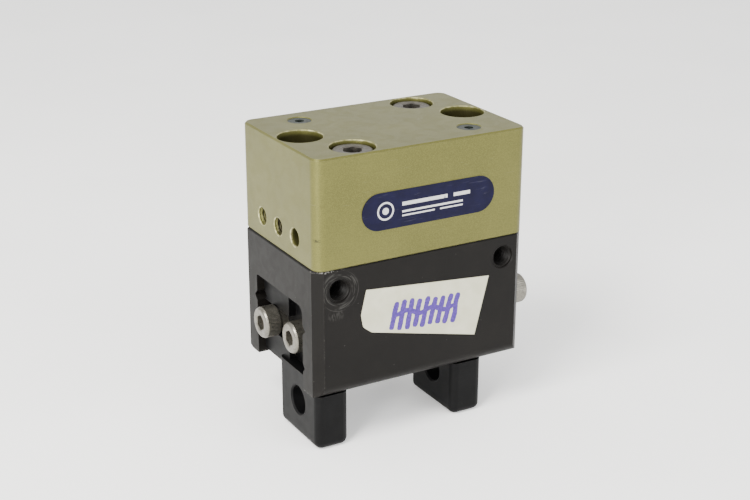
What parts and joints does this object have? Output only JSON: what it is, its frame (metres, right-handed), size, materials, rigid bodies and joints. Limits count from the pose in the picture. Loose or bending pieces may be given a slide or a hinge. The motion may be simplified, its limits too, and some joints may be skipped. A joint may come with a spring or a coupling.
{
  "type": "pneumatic parallel gripper",
  "caption": "Compact parallel gripper: air cylinder block on a black guide block, wedge hook moving opposed jaws with fingers that reach below the body.",
  "frame": {"origin": "centre of the top mounting face", "axes": "+Z out of the mounting face, away from the fingers; +X along the jaw travel; -Y out of the face with the name plate and side threads"},
  "size_m": [0.0483, 0.0271, 0.051],
  "materials": {
    "anodised_body": "satin champagne anodised",
    "black_body": "satin black anodised, worn",
    "black_jaw": "satin black oxide",
    "screw_steel": "plain socket screw steel",
    "tool_steel": "ground hardened steel",
    "dark_steel": "dark oxidised steel",
    "cylinder_aluminium": "turned",
    "seal_rubber": "matt nitrile",
    "guide_plastic": "filled PTFE",
    "magnet": "matt ferrite",
    "name_plate": "printed foil",
    "sticker_paper": "paper"
  },
  "bodies": {
    "housing": {"cylinder_housing": "anodised_body", "guide_housing": "black_body", "cylinder_cover": "cylinder_aluminium", "cover_o_ring": "seal_rubber", "rod_seal": "seal_rubber", "rod_bush": "guide_plastic", "housing_screw_front": "dark_steel", "housing_screw_rear": "dark_steel", "channel_plug_front": "dark_steel", "channel_plug_rear": "dark_steel", "dowel_pin_left": "tool_steel", "dowel_pin_right": "tool_steel", "name_plate": "name_plate", "inventory_sticker": "sticker_paper"},
    "piston_unit": {"piston": "cylinder_aluminium", "piston_seal": "seal_rubber", "piston_guide_ring": "guide_plastic", "piston_magnet": "magnet", "piston_screw": "screw_steel", "wedge_hook": "tool_steel"},
    "left_jaw": {"left_base_jaw": "tool_steel", "left_finger": "black_jaw", "left_front_screw": "screw_steel", "left_rear_screw": "screw_steel", "left_lock_washer": "screw_steel"},
    "left_cages": {"left_front_cage": "cylinder_aluminium", "left_front_rollers": "tool_steel", "left_rear_cage": "cylinder_aluminium", "left_rear_rollers": "tool_steel"},
    "right_jaw": {"right_base_jaw": "tool_steel", "right_finger": "black_jaw", "right_front_screw": "screw_steel", "right_rear_screw": "screw_steel", "right_lock_washer": "screw_steel"},
    "right_cages": {"right_front_cage": "cylinder_aluminium", "right_front_rollers": "tool_steel", "right_rear_cage": "cylinder_aluminium", "right_rear_rollers": "tool_steel"}
  },
  "joints": [
    {"name": "piston_slide", "type": "slide", "parent": "housing", "child": "piston_unit", "axis": [0, 0, 1], "range_m": [0, 0.006]},
    {"name": "left_jaw_slide", "type": "slide", "parent": "housing", "child": "left_jaw", "axis": [1, 0, 0], "range_m": [0, 0.004]},
    {"name": "right_jaw_slide", "type": "slide", "parent": "housing", "child": "right_jaw", "axis": [-1, 0, 0], "range_m": [0, 0.004]},
    {"name": "left_cage_slide", "type": "slide", "parent": "housing", "child": "left_cages", "axis": [1, 0, 0], "range_m": [0, 0.002]},
    {"name": "right_cage_slide", "type": "slide", "parent": "housing", "child": "right_cages", "axis": [-1, 0, 0], "range_m": [0, 0.002]}
  ],
  "couplings": [
    {"joint": "left_jaw_slide", "follows": "piston_slide", "ratio": 0.66667},
    {"joint": "right_jaw_slide", "follows": "piston_slide", "ratio": 0.66667},
    {"joint": "left_cage_slide", "follows": "piston_slide", "ratio": 0.33333},
    {"joint": "right_cage_slide", "follows": "piston_slide", "ratio": 0.33333}
  ]
}
